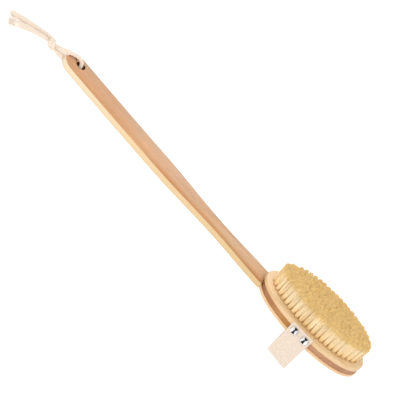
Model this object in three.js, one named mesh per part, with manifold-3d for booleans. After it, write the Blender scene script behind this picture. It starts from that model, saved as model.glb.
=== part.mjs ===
// A body dry brush: an oval head of three glued boards with a field of bristle tufts, a hand strap
// nailed to its sides, a long detachable handle, and a knotted hanging cord.
//
// Millimetres, +Z up. The brush stands bristles up, on its strap and on the cord under the handle's
// end. The origin is the centre of the strap's underside, and +X runs along to the head's tip.
// The head's own frame has its origin at the centre of the back board's flat back.

import * as THREE from 'three';
import { mergeVertices } from 'three/addons/utils/BufferGeometryUtils.js';
import Module from 'manifold-3d';

const wasm = await Module();
wasm.setup();

// ---------------------------------------------------------------------------------------------
// Driving dimensions
// ---------------------------------------------------------------------------------------------

const SEAM = 0.3; // clearance between pieces that touch

// Head boards
const HEAD_LENGTH = 128.5;
const HEAD_WIDTH = 59.6;
const OVAL_POWER = 2.15; // 2 is an ellipse, and more is fuller between the ends and the sides
const BACK_THICKNESS = 3.9;
const CORE_THICKNESS = 5.7;
const FACE_THICKNESS = 4.0;
const GROOVE_DEPTH = 1.2; // how far the core stands back from the other two boards
const RIM_ROUND = 1.6;

// Bristle field
const FIELD_LENGTH = 111; // between the outer row's end tufts
const FIELD_WIDTH = 43.4;
const FIELD_MARGIN = 2.6; // from the outer row's tufts to the edge of their slice
const ROW_COUNT = 4; // nested oval rows, round one straight middle row
const TUFT_PITCH = 5.55;
const ROW_START = 0.69; // of a pitch, from the head's tip round to a row's first tuft
const MIDDLE_ROOM = 0.8; // where the innermost oval leaves the middle row room, as a share of its width
const STRANDS_PER_TUFT = 3;
const STRAND_SIDES = 3;
const BRISTLE_HEIGHT = 23.2; // above the face board
const BRISTLE_FLARE = 0.4; // how far the outer row leans out at its tips
const TUFT_ROOT_RADIUS = 0.9; // from a tuft's centre to its strands, at the root
const TUFT_TIP_RADIUS = 1.5;
const STRAND_ROOT_RADIUS = 0.75;
const STRAND_TIP_RADIUS = 0.45;
const SLICE_THICKNESS = 1.4; // of the face board that carries a row

// Handle
const HANDLE_LENGTH = 287.7; // from the head's end to the round end
const HANDLE_THICKNESS = 7.2;
const HANDLE_ROUND = 1.2; // of its long edges
const GRIP_WIDTH = 26.2;
const WAIST_WIDTH = 19;
const SHOULDER_WIDTH = 22.6; // where it meets the head
const WAIST_AT = 62; // from the shoulder
const GRIP_AT = 150; // where the grip has its full width, from the shoulder
const HANDLE_BELOW_BACK = 1.0; // how far its underside lies below the head's back, at the shoulder
const RISE_AT_SHOULDER = THREE.MathUtils.degToRad(2.7); // slope away from the back, towards the bristles
const RISE_AT_END = THREE.MathUtils.degToRad(4.8);
const HOLE_DIAMETER = 10;
const HOLE_FROM_END = 18.4;
const HOLE_OFFSET = 3.2; // off the handle's middle line

// Tongue on the handle, and the mortise for it in the core and back boards
const TONGUE_LENGTH = 42;
const TONGUE_WIDTH = 15;
const TONGUE_THICKNESS = 4;
const TONGUE_BELOW_TOP = 0.5; // under the handle's top face, at the shoulder
const TONGUE_CHAMFER = 2.5;
const MORTISE_END_ROOM = 1.0;

// Hand strap and its nails
const STRAP_WIDTH = 27; // at its nailed ends
const STRAP_LOWER_WIDTH = 25.4; // below the head
const STRAP_THICKNESS = 1.3;
const STRAP_DROP = 35; // from the head's back to the strap's underside
const STRAP_CORNER = 10; // outer radius of its two lower bends
const STRAP_ABOVE_FACE = 1.6; // from the face board's top to the strap's ends
const NAIL_SPACING = 13.6;
const NAIL_ABOVE_BACK = 9.45;
const NAIL_HEAD_DIAMETER = 8.8;
const NAIL_HEAD_HEIGHT = 3.8;
const NAIL_SHANK_DIAMETER = 1.2;
const NAIL_SHANK_LENGTH = 12;

// Hanging cord
const CORD_DIAMETER = 4;
const KNOT_DIAMETER = 10.6;
const KNOT_LENGTH = 10.4;

// Facets
const OVAL_POINTS = 96;
const SLICE_POINTS = 56;
const ROUND_STEPS = 3;
const SHANK_STATIONS = 30;
const END_STATIONS = 9;
const STRAP_STATIONS = 56;
const STRAP_COLUMNS = 4;
const TURNED_SIDES = 20;
const HOLE_SIDES = 32;
const CORD_SIDES = 8;

// ---------------------------------------------------------------------------------------------
// Levels and places worked out from them
// ---------------------------------------------------------------------------------------------

const headHalfLength = HEAD_LENGTH / 2;
const headHalfWidth = HEAD_WIDTH / 2;
const coreBottom = BACK_THICKNESS + SEAM;
const coreTop = coreBottom + CORE_THICKNESS;
const faceBottom = coreTop + SEAM;
const faceTop = faceBottom + FACE_THICKNESS;

const handleBottom = -HANDLE_BELOW_BACK;
const tongueTop = handleBottom + HANDLE_THICKNESS - TONGUE_BELOW_TOP;
const tongueBottom = tongueTop - TONGUE_THICKNESS;
const handleBendRadius = HANDLE_LENGTH / (RISE_AT_END - RISE_AT_SHOULDER);

const strapInnerHalf = headHalfWidth + SEAM;
const strapOuterHalf = strapInnerHalf + STRAP_THICKNESS;
const cordLift = CORD_DIAMETER + SEAM;

// ---------------------------------------------------------------------------------------------
// Solids and surfaces
// ---------------------------------------------------------------------------------------------

// A closed three.js geometry as a solid that can be joined and cut.
function solid(geometry) {
  const bare = geometry.index ? geometry.toNonIndexed() : geometry.clone();
  for (const name of Object.keys(bare.attributes)) {
    if (name !== 'position') bare.deleteAttribute(name);
  }
  const merged = mergeVertices(bare, 1e-4);
  return new wasm.Manifold(new wasm.Mesh({
    numProp: 3,
    vertProperties: new Float32Array(merged.attributes.position.array),
    triVerts: new Uint32Array(merged.index.array),
  }));
}

function geometryOf(body) {
  const mesh = body.getMesh();
  const geometry = new THREE.BufferGeometry();
  geometry.setAttribute('position', new THREE.BufferAttribute(mesh.vertProperties, 3));
  geometry.setIndex(new THREE.BufferAttribute(mesh.triVerts, 1));
  return geometry;
}

function indexedGeometry(points, triangles) {
  const geometry = new THREE.BufferGeometry();
  geometry.setAttribute('position', new THREE.Float32BufferAttribute(points.flat(), 3));
  geometry.setIndex(triangles.flat());
  return geometry;
}

// An outline moved inwards along its own normals. Outlines run anticlockwise.
function insetOutline(outline, inset) {
  const count = outline.length;
  return outline.map(([x, y], i) => {
    const [beforeX, beforeY] = outline[(i + count - 1) % count];
    const [afterX, afterY] = outline[(i + 1) % count];
    const length = Math.hypot(afterX - beforeX, afterY - beforeY);
    return [x - (inset * (afterY - beforeY)) / length, y + (inset * (afterX - beforeX)) / length];
  });
}

// A flat board with this outline and a stack of layers, each with a height and an inset.
// Point i of the outline mirrors point count - 1 - i across the board's long axis.
function board(outline, layers, place = (x, y, z) => [x, y, z]) {
  const count = outline.length;
  const points = [];
  const triangles = [];
  for (const { height, inset } of layers) {
    for (const [x, y] of insetOutline(outline, inset)) points.push(place(x, y, height));
  }
  for (let layer = 0; layer < layers.length - 1; layer++) {
    for (let i = 0; i < count; i++) {
      const low = layer * count + i;
      const lowNext = layer * count + ((i + 1) % count);
      triangles.push([low, lowNext, lowNext + count], [low, lowNext + count, low + count]);
    }
  }
  const top = (layers.length - 1) * count;
  for (let i = 0; i < count / 2 - 1; i++) {
    const [a, b, c, d] = [i, i + 1, count - 2 - i, count - 1 - i];
    triangles.push([top + a, top + b, top + c], [top + a, top + c, top + d]);
    triangles.push([a, c, b], [a, d, c]);
  }
  return indexedGeometry(points, triangles);
}

// Layers from bottom to top, with round edges of these radii.
function roundedLayers(bottom, top, bottomRound, topRound) {
  const layers = [];
  const quarter = (radius, level, direction) => {
    for (let step = 0; step <= ROUND_STEPS; step++) {
      const angle = ((Math.PI / 2) * step) / ROUND_STEPS;
      layers.push({
        height: level + direction * radius * (1 - Math.cos(angle)),
        inset: radius * (1 - Math.sin(angle)),
      });
    }
  };
  if (bottomRound > 0) quarter(bottomRound, bottom, 1);
  else layers.push({ height: bottom, inset: 0 });
  const lower = layers.splice(0);
  if (topRound > 0) quarter(topRound, top, -1);
  else layers.push({ height: top, inset: 0 });
  return [...lower, ...layers.reverse()];
}

const flatLayers = (bottom, top) => roundedLayers(bottom, top, 0, 0);

// Half the width of an oval at x.
function ovalHalfWidth(x, halfLength, halfWidth) {
  const along = Math.min(1, Math.abs(x / halfLength));
  return halfWidth * (1 - along ** OVAL_POWER) ** (1 / OVAL_POWER);
}

function ovalOutline(halfLength, halfWidth, count = OVAL_POINTS, power = OVAL_POWER) {
  const outline = [];
  for (let i = 0; i < count; i++) {
    const angle = ((i + 0.5) * 2 * Math.PI) / count;
    const [c, s] = [Math.cos(angle), Math.sin(angle)];
    outline.push([
      halfLength * Math.sign(c) * Math.abs(c) ** (2 / power),
      halfWidth * Math.sign(s) * Math.abs(s) ** (2 / power),
    ]);
  }
  return outline;
}

function boxBetween([x0, y0, z0], [x1, y1, z1]) {
  const geometry = new THREE.BoxGeometry(x1 - x0, y1 - y0, z1 - z0);
  geometry.translate((x0 + x1) / 2, (y0 + y1) / 2, (z0 + z1) / 2);
  return geometry;
}

// ---------------------------------------------------------------------------------------------
// Head
// ---------------------------------------------------------------------------------------------

function mortise() {
  return solid(boxBetween(
    [-headHalfLength - GROOVE_DEPTH, -TONGUE_WIDTH / 2 - SEAM, tongueBottom - SEAM],
    [-headHalfLength + TONGUE_LENGTH + MORTISE_END_ROOM, TONGUE_WIDTH / 2 + SEAM, tongueTop + SEAM],
  ));
}

function backBoard() {
  const layers = roundedLayers(0, BACK_THICKNESS, RIM_ROUND, 0);
  const whole = solid(board(ovalOutline(headHalfLength, headHalfWidth), layers));
  return geometryOf(whole.subtract(mortise()));
}

function coreBoard() {
  const outline = ovalOutline(headHalfLength - GROOVE_DEPTH, headHalfWidth - GROOVE_DEPTH);
  let core = solid(board(outline, flatLayers(coreBottom, coreTop))).subtract(mortise());
  for (const nail of nailPlaces()) core = core.subtract(nailHole(nail));
  return geometryOf(core);
}

function faceBoard() {
  const layers = roundedLayers(faceBottom, faceTop, 0, RIM_ROUND);
  const whole = solid(board(ovalOutline(headHalfLength, headHalfWidth), layers));
  const pocket = fieldOval(FIELD_MARGIN + SEAM, faceTop - SLICE_THICKNESS - SEAM, faceTop + SEAM);
  return geometryOf(whole.subtract(pocket));
}

// ---------------------------------------------------------------------------------------------
// Bristles: nested oval rows of tufts, each row on its own slice of the face board
// ---------------------------------------------------------------------------------------------

const rowStep = FIELD_WIDTH / 2 / ROW_COUNT;
const rowHalves = (row) => [FIELD_LENGTH / 2 - row * rowStep, FIELD_WIDTH / 2 - row * rowStep];

// An upright oval prism, this far outside the outer row of tufts.
function fieldOval(margin, bottom, top) {
  const [halfLength, halfWidth] = rowHalves(0);
  const outline = ovalOutline(halfLength + margin, halfWidth + margin, SLICE_POINTS, 2);
  return solid(board(outline, flatLayers(bottom, top)));
}

function slice(row) {
  const [bottom, top] = [faceTop - SLICE_THICKNESS, faceTop];
  const outerMargin = row === 0 ? FIELD_MARGIN : -(row - 0.5) * rowStep - SEAM / 2;
  const whole = fieldOval(outerMargin, bottom, top);
  if (row === ROW_COUNT - 1) return whole;
  return whole.subtract(fieldOval(-(row + 0.5) * rowStep + SEAM / 2, bottom - SEAM, top + SEAM));
}

// The tufts of an oval row: each has its root on the face and the way that it leans.
function ovalRow(row) {
  const [halfLength, halfWidth] = rowHalves(row);
  const curve = new THREE.EllipseCurve(0, 0, halfLength, halfWidth);
  const count = Math.round(curve.getLength() / TUFT_PITCH);
  const lean = (BRISTLE_FLARE * (ROW_COUNT - row)) / ROW_COUNT;
  const tufts = [];
  for (let i = 0; i < count; i++) {
    const root = curve.getPointAt((i + ROW_START) / count);
    const out = new THREE.Vector2(root.x / halfLength ** 2, root.y / halfWidth ** 2);
    tufts.push({ root, lean: out.setLength(lean) });
  }
  return tufts;
}

// The straight row inside the innermost oval, as far as that oval leaves it room.
function middleRow() {
  const [halfLength] = rowHalves(ROW_COUNT - 1);
  const reach = halfLength * Math.sqrt(1 - MIDDLE_ROOM ** 2);
  const count = 2 * Math.floor(reach / TUFT_PITCH) + 1;
  const tufts = [];
  for (let i = 0; i < count; i++) {
    const root = new THREE.Vector2((i - (count - 1) / 2) * TUFT_PITCH, 0);
    tufts.push({ root, lean: new THREE.Vector2() });
  }
  return tufts;
}

// The strands of one tuft, as tapered prisms that spread from the root to the tip.
function addTuft(points, triangles, { root, lean }, turn) {
  const rootLevel = faceTop - SLICE_THICKNESS / 2;
  const tipLevel = faceTop + BRISTLE_HEIGHT;
  for (let strand = 0; strand < STRANDS_PER_TUFT; strand++) {
    const around = turn + (strand * 2 * Math.PI) / STRANDS_PER_TUFT;
    const first = points.length;
    const ring = (x, y, level, spread, radius) => {
      for (let side = 0; side < STRAND_SIDES; side++) {
        const angle = around + (side * 2 * Math.PI) / STRAND_SIDES;
        points.push([
          x + spread * Math.cos(around) + radius * Math.cos(angle),
          y + spread * Math.sin(around) + radius * Math.sin(angle),
          level,
        ]);
      }
    };
    ring(root.x, root.y, rootLevel, TUFT_ROOT_RADIUS, STRAND_ROOT_RADIUS);
    ring(root.x + lean.x, root.y + lean.y, tipLevel, TUFT_TIP_RADIUS, STRAND_TIP_RADIUS);
    for (let side = 0; side < STRAND_SIDES; side++) {
      const low = first + side;
      const lowNext = first + ((side + 1) % STRAND_SIDES);
      const [high, highNext] = [low + STRAND_SIDES, lowNext + STRAND_SIDES];
      triangles.push([low, lowNext, highNext], [low, highNext, high]);
    }
    for (let side = 1; side < STRAND_SIDES - 1; side++) {
      const top = first + STRAND_SIDES;
      triangles.push([first, first + side + 1, first + side], [top, top + side, top + side + 1]);
    }
  }
}

function bristleRow(row) {
  const tufts = ovalRow(row);
  if (row === ROW_COUNT - 1) tufts.push(...middleRow());
  const goldenAngle = Math.PI * (3 - Math.sqrt(5));
  const points = [];
  const triangles = [];
  tufts.forEach((tuft, i) => addTuft(points, triangles, tuft, i * goldenAngle));
  return geometryOf(slice(row).add(solid(indexedGeometry(points, triangles))));
}

// ---------------------------------------------------------------------------------------------
// Handle
// ---------------------------------------------------------------------------------------------

const smooth = (from, to, at) => THREE.MathUtils.smoothstep(at, from, to);

function handleHalfWidth(along) {
  const width = along < WAIST_AT
    ? THREE.MathUtils.lerp(SHOULDER_WIDTH, WAIST_WIDTH, smooth(0, WAIST_AT, along))
    : THREE.MathUtils.lerp(WAIST_WIDTH, GRIP_WIDTH, smooth(WAIST_AT, GRIP_AT, along));
  return width / 2;
}

// The handle's outline: u runs from the shoulder to the round end, and v across.
function handleOutline() {
  const side = [];
  const start = -headHalfWidth / 2; // runs on into the head, whose outline then cuts the end hollow
  const endRadius = GRIP_WIDTH / 2;
  const endStart = HANDLE_LENGTH - endRadius;
  for (let i = 0; i < SHANK_STATIONS; i++) {
    const u = THREE.MathUtils.lerp(start, endStart, i / SHANK_STATIONS);
    side.push([u, handleHalfWidth(u)]);
  }
  for (let i = 0; i < END_STATIONS; i++) {
    const angle = ((Math.PI / 2) * i) / (END_STATIONS - 0.5);
    side.push([endStart + endRadius * Math.sin(angle), endRadius * Math.cos(angle)]);
  }
  return [...side.toReversed(), ...side.map(([u, v]) => [u, -v])];
}

// From the flat board to the head's frame, along the handle's gentle bow.
function onHandle(u, v, w) {
  const angle = RISE_AT_SHOULDER + u / handleBendRadius;
  const bow = handleBendRadius;
  const [height, sine, cosine] = [w - HANDLE_THICKNESS, Math.sin(angle), Math.cos(angle)];
  return [
    -headHalfLength - bow * (sine - Math.sin(RISE_AT_SHOULDER)) + height * sine,
    -v,
    handleBottom + HANDLE_THICKNESS + bow * (Math.cos(RISE_AT_SHOULDER) - cosine) + height * cosine,
  ];
}

function tongue() {
  const tip = -headHalfLength + TONGUE_LENGTH;
  const root = -headHalfLength - TONGUE_WIDTH / 2;
  const half = TONGUE_WIDTH / 2;
  const shape = new THREE.Shape([
    new THREE.Vector2(root, -half),
    new THREE.Vector2(tip - TONGUE_CHAMFER, -half),
    new THREE.Vector2(tip, -half + TONGUE_CHAMFER),
    new THREE.Vector2(tip, half - TONGUE_CHAMFER),
    new THREE.Vector2(tip - TONGUE_CHAMFER, half),
    new THREE.Vector2(root, half),
  ]);
  const geometry = new THREE.ExtrudeGeometry(shape, { depth: TONGUE_THICKNESS, bevelEnabled: false });
  geometry.translate(0, 0, tongueBottom);
  return solid(geometry);
}

function hangHole() {
  const [x, , z] = onHandle(HANDLE_LENGTH - HOLE_FROM_END, 0, HANDLE_THICKNESS / 2);
  const radius = HOLE_DIAMETER / 2;
  const drill = new THREE.CylinderGeometry(radius, radius, 3 * HANDLE_THICKNESS, HOLE_SIDES);
  drill.rotateX(Math.PI / 2);
  drill.rotateY(-RISE_AT_END);
  drill.translate(x, HOLE_OFFSET, z);
  return solid(drill);
}

function handle() {
  const layers = roundedLayers(0, HANDLE_THICKNESS, HANDLE_ROUND, HANDLE_ROUND);
  const headRoom = board(
    ovalOutline(headHalfLength + SEAM, headHalfWidth + SEAM),
    flatLayers(handleBottom - HANDLE_THICKNESS, faceTop),
  );
  const blade = solid(board(handleOutline(), layers, onHandle)).subtract(solid(headRoom));
  return geometryOf(blade.add(tongue()).subtract(hangHole()));
}

// ---------------------------------------------------------------------------------------------
// The tilt at which the brush stands: on the strap, and on the cord under the handle's end
// ---------------------------------------------------------------------------------------------

const [endX, , endZ] = onHandle(HANDLE_LENGTH, 0, 0);
const tilt = Math.acos(cordLift / Math.hypot(STRAP_DROP + endZ, endX))
  - Math.atan2(-endX, STRAP_DROP + endZ);

// ---------------------------------------------------------------------------------------------
// Hand strap and nails
// ---------------------------------------------------------------------------------------------

// The middle line of the webbing, seen along the head: down one side, across, and up the other.
function strapLine() {
  const half = strapInnerHalf + STRAP_THICKNESS / 2;
  const radius = STRAP_CORNER - STRAP_THICKNESS / 2;
  const [top, centre] = [faceTop + STRAP_ABOVE_FACE, -STRAP_DROP + STRAP_CORNER];
  const path = new THREE.Path();
  path.moveTo(-half, top);
  path.lineTo(-half, centre);
  path.absarc(-half + radius, centre, radius, Math.PI, 1.5 * Math.PI, false);
  path.absarc(half - radius, centre, radius, 1.5 * Math.PI, 2 * Math.PI, false);
  path.lineTo(half, top);
  return path;
}

// The webbing hugs the oval side of the head and draws in below it, and its underside lies level
// while the head tilts.
function handStrap() {
  const line = strapLine();
  const geometry = new THREE.BoxGeometry(
    STRAP_WIDTH, STRAP_THICKNESS, 1, STRAP_COLUMNS, 1, STRAP_STATIONS,
  );
  const position = geometry.attributes.position;
  for (let i = 0; i < position.count; i++) {
    const along = THREE.MathUtils.clamp(position.getZ(i) + 0.5, 0, 1);
    const outward = position.getY(i);
    const point = line.getPointAt(along);
    const tangent = line.getTangentAt(along);
    const flatY = point.x + outward * tangent.y;
    const flatZ = point.y - outward * tangent.x;
    const drawnIn = smooth(-faceTop, STRAP_CORNER, -flatZ);
    const width = THREE.MathUtils.lerp(STRAP_WIDTH, STRAP_LOWER_WIDTH, drawnIn);
    const across = (position.getX(i) * width) / STRAP_WIDTH;
    const level = flatZ < 0 ? 1 + (across * Math.tan(tilt)) / STRAP_DROP : 1;
    const hug = ovalHalfWidth(across, headHalfLength, headHalfWidth) / headHalfWidth;
    position.setXYZ(i, across, flatY * hug, flatZ * level);
  }
  let strap = solid(geometry);
  for (const nail of nailPlaces()) strap = strap.subtract(nailHole(nail));
  return geometryOf(strap);
}

// Where each nail goes in: on the strap's outer face, square to the side of the head.
function nailPlaces() {
  const places = [];
  for (const side of [-1, 1]) {
    for (const end of [-1, 1]) {
      const x = (end * NAIL_SPACING) / 2;
      const step = 0.5;
      const outer = (at) =>
        (strapOuterHalf * ovalHalfWidth(at, headHalfLength, headHalfWidth)) / headHalfWidth;
      const slope = (outer(x + step) - outer(x - step)) / (2 * step);
      places.push({ x, y: side * outer(x), turn: side * Math.atan(-slope), side });
    }
  }
  return places;
}

// Puts a nail's geometry, made along +Z with its seat at z = 0, at its place on the head.
function atNail(geometry, { x, y, turn, side }) {
  geometry.rotateX((-side * Math.PI) / 2);
  geometry.rotateZ(-turn);
  geometry.translate(x, y, NAIL_ABOVE_BACK);
  return geometry;
}

function nailHole(place) {
  const radius = NAIL_SHANK_DIAMETER / 2 + SEAM;
  const length = NAIL_SHANK_LENGTH + 2 * SEAM;
  const drill = new THREE.CylinderGeometry(radius, radius, length + NAIL_HEAD_HEIGHT, TURNED_SIDES);
  drill.rotateX(Math.PI / 2);
  drill.translate(0, 0, (NAIL_HEAD_HEIGHT - length) / 2);
  return solid(atNail(drill, place));
}

function nail(place) {
  const [head, shank] = [NAIL_HEAD_DIAMETER / 2, NAIL_SHANK_DIAMETER / 2];
  const capRadius = (head ** 2 + NAIL_HEAD_HEIGHT ** 2) / (2 * NAIL_HEAD_HEIGHT);
  const halfAngle = Math.asin(head / capRadius);
  const profile = [new THREE.Vector2(0, SEAM - NAIL_SHANK_LENGTH)];
  profile.push(new THREE.Vector2(shank, SEAM - NAIL_SHANK_LENGTH + 3 * shank));
  profile.push(new THREE.Vector2(shank, SEAM), new THREE.Vector2(head, SEAM));
  const steps = 2 * ROUND_STEPS;
  for (let step = 1; step < steps; step++) {
    const angle = halfAngle * (1 - step / steps);
    const rise = capRadius * Math.cos(angle) - (capRadius - NAIL_HEAD_HEIGHT);
    profile.push(new THREE.Vector2(capRadius * Math.sin(angle), SEAM + rise));
  }
  profile.push(new THREE.Vector2(0, SEAM + NAIL_HEAD_HEIGHT));
  const geometry = new THREE.LatheGeometry(profile, TURNED_SIDES);
  geometry.rotateX(Math.PI / 2);
  return atNail(geometry, place);
}

// ---------------------------------------------------------------------------------------------
// Hanging cord, in the brush's standing frame: its routes are chosen by hand
// ---------------------------------------------------------------------------------------------

const LOOP_ROUTE = [
  [-366.6, -1.6, 2.9], [-363.6, -0.7, 2.3], [-360.2, -0.1, 2], [-356.8, 0.3, 2],
  [-353.6, 0.7, 2], [-350.6, 1.2, 2], [-347.6, 1.7, 2], [-344.85, 2.1, 2], [-341.9, 2.4, 2.63],
  [-339.46, 2.7, 4.4], [-337.96, 2.8, 7.01], [-337.64, 2.9, 10.01], [-338.57, 2.9, 12.88],
  [-340.59, 2.9, 15.12], [-343.34, 2.8, 16.34], [-346.3, 2.6, 16.35], [-349.1, 2, 15.5],
  [-351.6, 1, 14.8], [-354.1, -0.5, 14.2], [-356.6, -1.9, 13.4], [-359.2, -2.8, 12.3],
  [-361.8, -3, 10.8], [-364.2, -2.6, 9.1], [-366.6, -2, 7.3],
];
const TAIL_1_ROUTE = [
  [-378.9, 0.9, 5.7], [-380.8, 1.1, 5.2], [-383.2, 1.3, 4.3], [-385.9, 1.2, 3.3],
  [-388.6, 0.4, 2.5], [-391.5, -1.1, 2.1], [-394.5, -3.2, 2], [-397.5, -5.4, 2],
  [-400.4, -7.4, 2], [-403.4, -9.2, 2], [-406.3, -10.9, 2], [-409.3, -12.7, 2],
  [-412.2, -14.6, 2], [-415.2, -16.7, 2], [-417.7, -18.6, 2],
];
const TAIL_2_ROUTE = [
  [-379, -3.1, 3.9], [-380.8, -3.5, 3.5], [-383.2, -4.1, 2.7], [-385.6, -4.9, 2.2],
  [-388, -6.1, 2], [-390.3, -7.6, 2], [-392.6, -9.4, 2], [-395, -11.4, 2], [-397.3, -13.4, 2],
  [-399.6, -15.4, 2], [-401.9, -17.5, 2], [-404.2, -19.7, 2], [-406.5, -21.9, 2],
  [-408.8, -24.1, 2], [-411, -26.2, 2],
];
const KNOT_PLACE = new THREE.Vector3(-372.8, -2.9, KNOT_DIAMETER / 2);

function cord(route) {
  const curve = new THREE.CatmullRomCurve3(route.map((point) => new THREE.Vector3(...point)));
  const section = new THREE.Shape();
  section.absarc(0, 0, CORD_DIAMETER / 2, 0, 2 * Math.PI, false);
  const sides = section.getSpacedPoints(CORD_SIDES).slice(0, CORD_SIDES);
  return new THREE.ExtrudeGeometry(new THREE.Shape(sides), {
    steps: Math.round(curve.getLength() / CORD_DIAMETER) * 2,
    extrudePath: curve,
  });
}

// A snug overhand knot: two wraps side by side, lying along X.
function knot() {
  const [full, half] = [KNOT_DIAMETER / 2, KNOT_LENGTH / 2];
  const share = [[0, -1], [0.56, -1], [0.86, -0.82], [1, -0.48], [0.98, -0.24], [0.9, 0],
    [0.98, 0.24], [1, 0.48], [0.86, 0.82], [0.56, 1], [0, 1]];
  const profile = share.map(([radius, along]) => new THREE.Vector2(radius * full, along * half));
  const geometry = new THREE.LatheGeometry(profile, TURNED_SIDES);
  geometry.rotateZ(Math.PI / 2);
  return geometry;
}

// ---------------------------------------------------------------------------------------------
// Assembly
// ---------------------------------------------------------------------------------------------

const finish = (color, roughness, metalness = 0) =>
  new THREE.MeshStandardMaterial({ color, roughness, metalness });

const lightWood = finish(0xe8c79a, 0.5);
const handleWood = finish(0xdcae7c, 0.5);
const darkWood = finish(0xa9693f, 0.6);
const bristle = finish(0xe6c98f, 0.8);
const webbing = finish(0xefe2cf, 0.9);
const chrome = finish(0xd8dadd, 0.15, 1);
const cotton = finish(0xeadfd2, 0.95);

function add(group, name, geometry, material) {
  const mesh = new THREE.Mesh(geometry, material);
  mesh.name = name;
  group.add(mesh);
  return mesh;
}

const brush = new THREE.Group();

const standing = new THREE.Group();
standing.rotation.y = -tilt;
standing.position.set(-STRAP_DROP * Math.sin(tilt), 0, STRAP_DROP * Math.cos(tilt));
brush.add(standing);

add(standing, 'back_board', backBoard(), lightWood);
add(standing, 'core_board', coreBoard(), darkWood);
add(standing, 'face_board', faceBoard(), lightWood);
for (let row = 0; row < ROW_COUNT; row++) {
  add(standing, `bristle_row_${row + 1}`, bristleRow(row), bristle);
}
add(standing, 'handle', handle(), handleWood);
add(standing, 'hand_strap', handStrap(), webbing);
nailPlaces().forEach((place, i) => {
  const side = place.side < 0 ? 'near' : 'far';
  add(standing, `strap_nail_${side}_${(i % 2) + 1}`, nail(place), chrome);
});

add(brush, 'cord_loop', cord(LOOP_ROUTE), cotton);
add(brush, 'cord_knot', knot(), cotton).position.copy(KNOT_PLACE);
add(brush, 'cord_tail_1', cord(TAIL_1_ROUTE), cotton);
add(brush, 'cord_tail_2', cord(TAIL_2_ROUTE), cotton);

export default brush;
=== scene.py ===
from math import acos, asin, atan2, copysign, cos, floor, hypot, pi, radians, sin, sqrt, tan

import bpy
import numpy as np
from mathutils import Matrix, Vector


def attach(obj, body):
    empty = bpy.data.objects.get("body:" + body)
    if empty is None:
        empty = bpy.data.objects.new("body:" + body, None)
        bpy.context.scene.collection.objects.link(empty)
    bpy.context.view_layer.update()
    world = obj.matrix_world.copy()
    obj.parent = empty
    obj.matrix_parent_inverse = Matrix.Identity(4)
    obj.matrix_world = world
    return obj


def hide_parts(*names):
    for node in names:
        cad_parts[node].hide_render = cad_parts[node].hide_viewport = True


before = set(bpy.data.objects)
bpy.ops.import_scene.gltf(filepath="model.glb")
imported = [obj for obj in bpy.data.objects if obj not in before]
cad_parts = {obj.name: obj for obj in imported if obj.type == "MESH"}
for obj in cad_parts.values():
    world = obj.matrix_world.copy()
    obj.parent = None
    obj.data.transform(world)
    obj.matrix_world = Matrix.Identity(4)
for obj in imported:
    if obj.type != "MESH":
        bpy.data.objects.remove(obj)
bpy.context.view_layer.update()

# Sizes in millimetres, as in the CAD model. The head's own frame has its origin at the centre of
# the back board's flat back, +X to the head's tip and +Z to the bristles. A and B are half the
# length and half the width of the head and of the bristle field.
MM = 0.001
SEAM, SEAM_ROUND = 0.3, 0.25
HEAD_A, HEAD_B, OVAL_POWER = 64.25, 29.8, 2.15
BACK_TOP, FACE_BOTTOM, FACE_TOP = 3.9, 10.2, 14.2
GROOVE_DEPTH, RIM_ROUND = 1.2, 1.6
FIELD_A, FIELD_B, ROWS = 55.5, 21.7, 4
TUFT_PITCH, ROW_START, BRISTLE_HEIGHT = 5.55, 0.69, 23.2
HANDLE_LENGTH, HANDLE_THICKNESS, HANDLE_ROUND, HANDLE_BOTTOM = 287.7, 7.2, 1.2, -1.0
GRIP_WIDTH, WAIST_WIDTH, SHOULDER_WIDTH = 26.2, 19.0, 22.6
WAIST_AT, GRIP_AT = 62.0, 150.0
RISE_SHOULDER, RISE_END = radians(2.7), radians(4.8)
HOLE_RADIUS, HOLE_FROM_END, HOLE_OFFSET = 5.0, 18.4, 3.2
TONGUE_LENGTH, TONGUE_WIDTH, TONGUE_TOP, TONGUE_BOTTOM = 42.0, 15.0, 5.7, 1.7
STRAP_WIDTH, STRAP_LOWER_WIDTH, STRAP_THICKNESS = 27.0, 25.4, 1.3
STRAP_DROP, STRAP_CORNER, STRAP_TOP = 35.0, 10.0, FACE_TOP + 1.6
NAIL_SPACING, NAIL_LEVEL, NAIL_RADIUS, NAIL_HEIGHT = 13.6, 9.45, 4.4, 3.68
CORD_RADIUS = 2.0
UP = Vector((0, 0, 1))

# ---- the tilt
# The handle's rise grows from its shoulder to its end, on a bow of this radius.
BOW = HANDLE_LENGTH / (RISE_END - RISE_SHOULDER)


def on_handle(u, v, w):
    """From the flat handle board to the head's frame, along the handle's gentle bow."""
    angle = RISE_SHOULDER + u / BOW
    height, sine, cosine = w - HANDLE_THICKNESS, sin(angle), cos(angle)
    x = -HEAD_A - BOW * (sine - sin(RISE_SHOULDER)) + height * sine
    z = HANDLE_BOTTOM + HANDLE_THICKNESS + BOW * (cos(RISE_SHOULDER) - cosine) + height * cosine
    return x, -v, z


# The brush leans back on its strap until its handle's end rests on the cord, but for a small gap.
end_x, _, end_z = on_handle(HANDLE_LENGTH, 0, 0)
TILT = acos((2 * CORD_RADIUS + SEAM) / hypot(STRAP_DROP + end_z, end_x)) - atan2(
    -end_x, STRAP_DROP + end_z
)
TO_WORLD = Matrix.Translation(
    (-STRAP_DROP * sin(TILT) * MM, 0, STRAP_DROP * cos(TILT) * MM)
) @ Matrix.Rotation(-TILT, 4, "Y") @ Matrix.Scale(MM, 4)


def from_head(x, y, z):
    return TO_WORLD @ Vector((x, y, z))


hole_x, _, hole_z = on_handle(HANDLE_LENGTH - HOLE_FROM_END, 0, HANDLE_THICKNESS / 2)
hole_spot = Matrix.Translation((hole_x, HOLE_OFFSET, hole_z))
HOLE_PLACE = TO_WORLD @ hole_spot @ Matrix.Rotation(-RISE_END, 4, "Y")

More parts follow.
